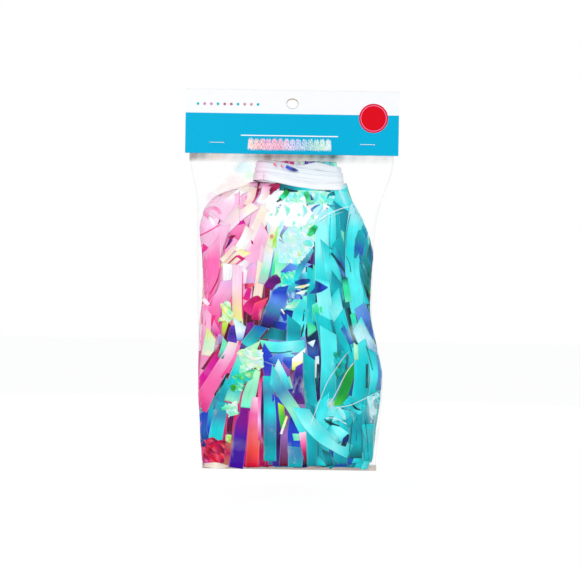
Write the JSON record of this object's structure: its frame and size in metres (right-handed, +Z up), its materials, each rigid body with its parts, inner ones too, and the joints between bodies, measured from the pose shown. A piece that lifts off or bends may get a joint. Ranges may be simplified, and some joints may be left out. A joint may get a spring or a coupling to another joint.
{
  "type": "tassel garland in hang pack",
  "caption": "Garland of fringed film tassels on a flat ribbon, bunched and tied at the neck, in a clear film bag stapled under a folded header card with a peg hole.",
  "frame": {"origin": "centre of the peg hole, midway between the card's two flaps", "axes": "+Z up along the hanging pack, +X to the right seen from the front, and the front of the card faces -Y"},
  "size_m": [0.192, 0.048, 0.3416],
  "materials": {
    "printed_card": "satin",
    "staple_steel": "satin",
    "clear_film": "gloss",
    "white_ribbon": "satin",
    "film_pale_pink": "gloss",
    "film_hot_pink": "gloss",
    "film_magenta": "gloss",
    "film_pearl": "gloss",
    "film_violet": "gloss",
    "film_turquoise": "gloss",
    "film_aqua": "gloss",
    "film_rose": "gloss",
    "film_coral": "gloss",
    "film_peach": "gloss",
    "film_purple": "gloss",
    "film_blue": "gloss",
    "film_teal": "gloss",
    "film_mint": "gloss"
  },
  "bodies": {
    "header": {"header_card": "printed_card", "staple_left": "staple_steel", "staple_right": "staple_steel", "bag_mouth": "clear_film"},
    "bag": {"bag_film": "clear_film"},
    "garland": {"ribbon": "white_ribbon", "tassel_01_pale_pink": "film_pale_pink", "tassel_02_hot_pink": "film_hot_pink", "tassel_03_magenta": "film_magenta", "tassel_04_pearl": "film_pearl", "tassel_05_violet": "film_violet", "tassel_06_turquoise": "film_turquoise", "tassel_07_aqua": "film_aqua", "tassel_08_rose": "film_rose", "tassel_09_coral": "film_coral", "tassel_10_peach": "film_peach", "tassel_11_purple": "film_purple", "tassel_12_blue": "film_blue", "tassel_13_teal": "film_teal", "tassel_14_mint": "film_mint"}
  },
  "joints": [
    {"name": "bag_fold", "type": "hinge", "parent": "header", "child": "bag", "pos_m": [0, 0, -0.0462], "axis": [1, 0, 0], "range_deg": [-85, 85]},
    {"name": "garland_shift", "type": "slide", "parent": "bag", "child": "garland", "axis": [0, 0, 1], "range_m": [0, 0.002]}
  ]
}
